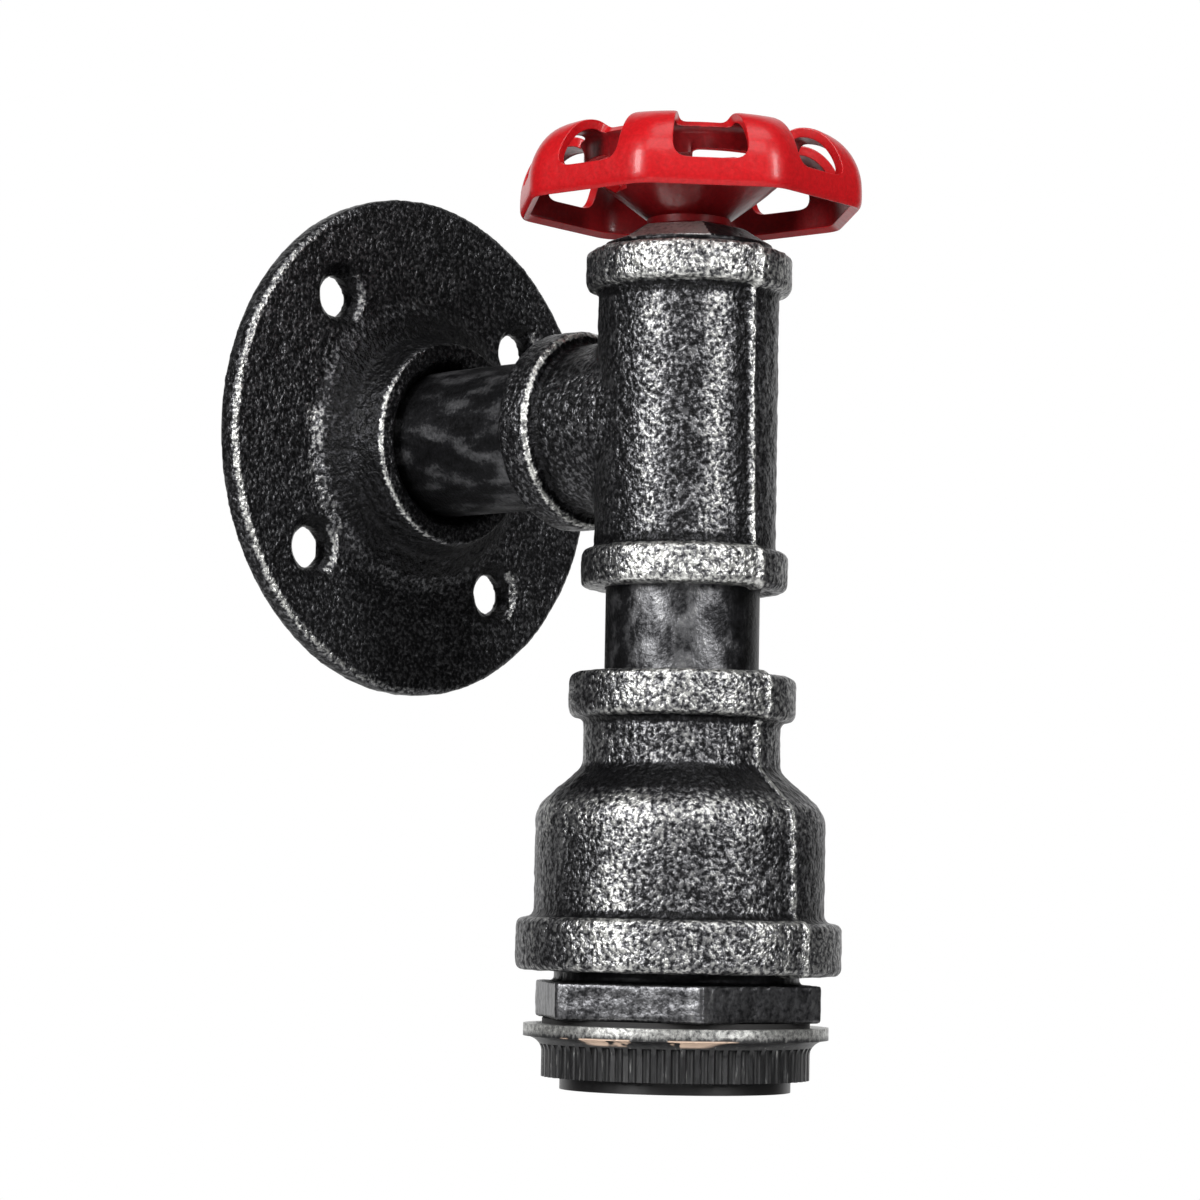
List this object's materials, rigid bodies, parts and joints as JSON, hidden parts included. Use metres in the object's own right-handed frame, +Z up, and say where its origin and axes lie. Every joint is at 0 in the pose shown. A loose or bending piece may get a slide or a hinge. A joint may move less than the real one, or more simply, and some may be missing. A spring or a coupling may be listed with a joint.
{
  "type": "wall light",
  "caption": "Wall light made of iron pipe fittings: round wall flange, short pipe, tee with a red stamped handwheel on top, and a bell-shaped reducing socket holding a screw lampholder below.",
  "frame": {"origin": "centre of the wall flange's back face, on the wall", "axes": "+Y into the wall, along the wall pipe; +Z up, along the column of fittings; the lamp points down, along -Z"},
  "size_m": [0.092, 0.0994, 0.1657],
  "materials": {
    "malleable_iron": "black, dry-brushed with silver on the raised bands",
    "pipe_steel": "black, rubbed silver in blotches",
    "red_enamel": "glossy red enamel on stamped steel",
    "zinc_steel": "bright zinc plate",
    "shell_brass": "drawn brass, satin",
    "terminal_brass": "machined brass",
    "spring_bronze": "rolled phosphor bronze",
    "porcelain": "glazed white porcelain",
    "bakelite": "black phenolic, satin",
    "ring_metal": "black, rubbed silver on the lip",
    "fibre": "black vulcanised fibre",
    "block_plastic": "natural nylon",
    "brown_sleeve": "brown silicone insulation",
    "blue_sleeve": "blue silicone insulation",
    "earth_sleeve": "green and yellow silicone insulation"
  },
  "bodies": {
    "fixture": {"wall_flange": "malleable_iron", "wall_nipple": "pipe_steel", "pipe_tee": "malleable_iron", "top_plug": "malleable_iron", "wheel_bolt": "zinc_steel", "wheel_washer": "zinc_steel", "wheel_lock_nut": "zinc_steel", "drop_nipple": "pipe_steel", "reducing_socket": "malleable_iron", "hex_bushing": "malleable_iron", "holder_body": "bakelite", "holder_cap": "bakelite", "cap_grub_screw": "zinc_steel", "hollow_rod": "zinc_steel", "mounting_plate": "zinc_steel", "rod_nuts": "zinc_steel", "earth_tag": "terminal_brass", "screw_shell": "shell_brass", "ceramic_insert": "porcelain", "insert_screws": "zinc_steel", "live_terminal": "terminal_brass", "neutral_terminal": "terminal_brass", "terminal_screws": "zinc_steel", "connector_block": "block_plastic", "connector_barrels": "terminal_brass", "connector_screws": "zinc_steel", "live_lead": "brown_sleeve", "neutral_lead": "blue_sleeve", "earth_lead": "earth_sleeve"},
    "handwheel": {"handwheel": "red_enamel"},
    "ring_carrier": {"ring_washer": "fibre"},
    "shade_ring": {"shade_ring": "ring_metal"},
    "contact": {"centre_contact": "spring_bronze"}
  },
  "joints": [
    {"name": "handwheel_spin", "type": "hinge", "parent": "fixture", "child": "handwheel", "pos_m": [0, -0.07, 0.034], "axis": [0, 0, 1], "continuous": true},
    {"name": "ring_travel", "type": "slide", "parent": "fixture", "child": "ring_carrier", "axis": [0, 0, -1], "range_m": [0, 0.00841]},
    {"name": "ring_turn", "type": "hinge", "parent": "ring_carrier", "child": "shade_ring", "pos_m": [0, -0.07, -0.1088], "axis": [0, 0, -1], "range_deg": [0, 1080]},
    {"name": "contact_press", "type": "hinge", "parent": "fixture", "child": "contact", "pos_m": [-0.0065, -0.07, -0.08675], "axis": [0, -1, 0], "range_deg": [0, 15], "stiffness_Nm_per_rad": 0.12}
  ],
  "couplings": [
    {"joint": "ring_travel", "follows": "ring_turn", "m_per_rad": 0.00044563}
  ]
}
